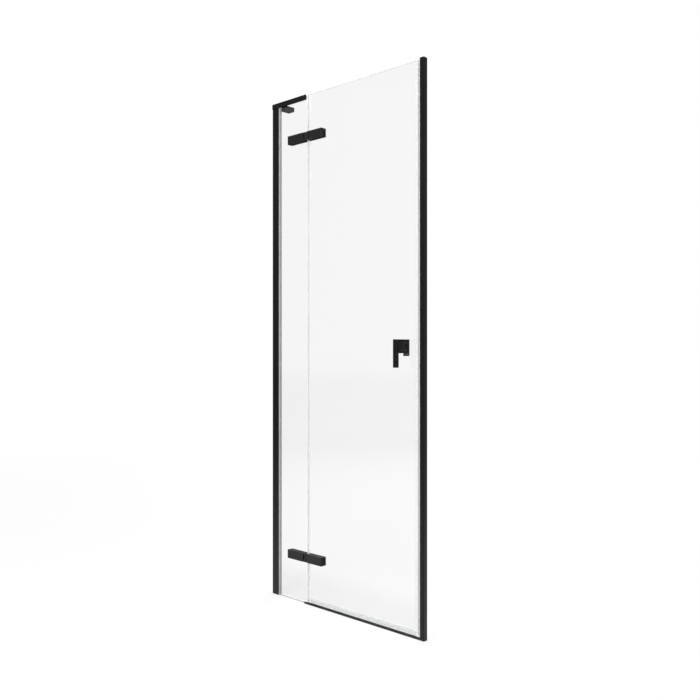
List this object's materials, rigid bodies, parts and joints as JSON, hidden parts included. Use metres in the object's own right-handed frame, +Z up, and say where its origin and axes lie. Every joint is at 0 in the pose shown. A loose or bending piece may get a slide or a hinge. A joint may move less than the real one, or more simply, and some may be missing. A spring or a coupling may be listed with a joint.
{
  "type": "shower door",
  "caption": "Frameless pivoting glass shower door hung from a narrow fixed pane, with wall profiles, glass hinges, seals, threshold and handle.",
  "frame": {"origin": "on the hinge-side wall face, at tray level, in the middle of the glass", "axes": "+X across the opening from the hinge-side wall to the strike-side wall, -Y to the outside of the shower, +Z up"},
  "size_m": [0.8, 0.0995, 2],
  "materials": {
    "satin_black": "satin powder coat",
    "clear_glass": "clear toughened glass, polished edges",
    "clear_seal": "clear soft PVC",
    "grey_gasket": "grey soft PVC",
    "black_rubber": "matt",
    "black_plastic": "fine matt",
    "black_screw_steel": "blackened steel",
    "pin_steel": "ground stainless steel",
    "nylon": "natural nylon",
    "magnet_strip": "ferrite-filled flexible strip",
    "white_magnet_strip": "magnet strip with a white cover"
  },
  "bodies": {
    "frame": {"wall_channel": "satin_black", "glazing_profile": "satin_black", "glazing_gasket_front": "grey_gasket", "glazing_gasket_back": "grey_gasket", "setting_block": "black_rubber", "profile_lock_screws": "black_screw_steel", "fixed_glass": "clear_glass", "fixed_glass_seal": "clear_seal", "top_rail": "satin_black", "rail_bracket": "satin_black", "rail_pad": "black_rubber", "rail_screws": "black_screw_steel", "brace_bracket": "satin_black", "brace_pad": "black_rubber", "brace_screw": "black_screw_steel", "brace_sleeve": "nylon", "threshold": "satin_black", "threshold_cap": "black_plastic", "strike_channel": "satin_black", "strike_profile": "satin_black", "strike_magnet": "magnet_strip", "strike_cap": "black_plastic", "strike_lock_screws": "black_screw_steel", "hinge_leaf_fixed_lower": "satin_black", "hinge_leaf_fixed_upper": "satin_black", "hinge_plate_fixed_lower": "satin_black", "hinge_plate_fixed_upper": "satin_black", "hinge_pin_lower": "pin_steel", "hinge_pin_upper": "pin_steel", "hinge_pads_fixed": "black_rubber", "hinge_sleeves_fixed": "nylon", "hinge_screws_fixed": "black_screw_steel"},
    "door": {"door_glass": "clear_glass", "hinge_leaf_door_lower": "satin_black", "hinge_leaf_door_upper": "satin_black", "hinge_plate_door_lower": "satin_black", "hinge_plate_door_upper": "satin_black", "hinge_bushes_lower": "black_plastic", "hinge_bushes_upper": "black_plastic", "hinge_pads_door": "black_rubber", "hinge_sleeves_door": "nylon", "hinge_screws_door": "black_screw_steel", "hinge_seal": "clear_seal", "closing_seal": "clear_seal", "door_magnet": "white_magnet_strip", "drip_seal": "clear_seal", "handle_grip": "satin_black", "handle_inner": "satin_black", "handle_pads": "black_rubber", "handle_sleeves": "black_plastic", "handle_screws": "black_screw_steel"}
  },
  "joints": [
    {"name": "door_swing", "type": "hinge", "parent": "frame", "child": "door", "pos_m": [0.207, -0.0125, 1], "axis": [0, 0, -1], "range_deg": [0, 100]}
  ]
}
